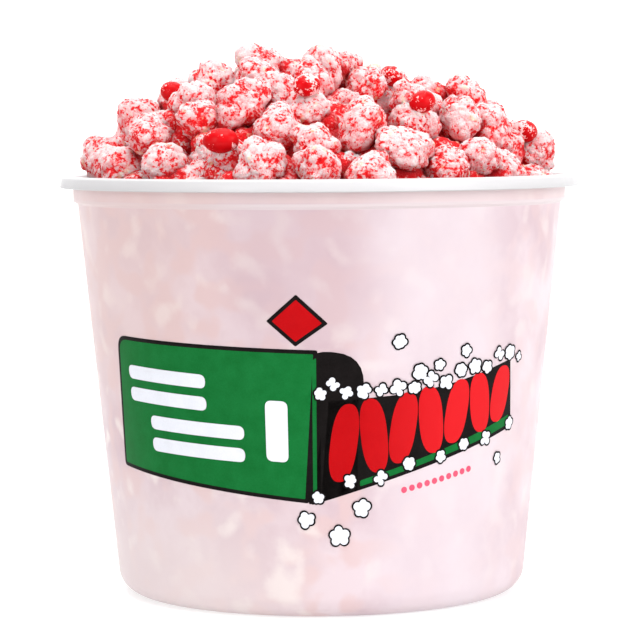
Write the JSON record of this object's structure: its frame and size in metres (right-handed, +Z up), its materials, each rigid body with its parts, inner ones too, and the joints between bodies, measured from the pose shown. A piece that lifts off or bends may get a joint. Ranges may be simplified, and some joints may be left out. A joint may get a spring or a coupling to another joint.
{
  "type": "bucket of popcorn",
  "caption": "Round frosted plastic tub with a rolled rim and a printed wall, heaped over the rim with sugar-coated red and pink popcorn and a few red candies.",
  "frame": {"origin": "middle of the base, on the surface that the bucket stands on", "axes": "+Z up along the bucket's axis; the printed front faces -Y; +X is to the right of the front"},
  "size_m": [0.22, 0.22, 0.2324],
  "materials": {
    "frosted_plastic": "frosted, slightly see-through, glossy on the outside",
    "popcorn_coating": "rough sugar coating, pink to red with white powder",
    "red_candy": "smooth and glossy"
  },
  "bodies": {
    "root": {"bucket": "frosted_plastic", "popcorn_heap": "popcorn_coating", "candy_1": "red_candy", "candy_2": "red_candy", "candy_3": "red_candy", "candy_4": "red_candy", "candy_5": "red_candy", "candy_6": "red_candy"}
  },
  "joints": []
}
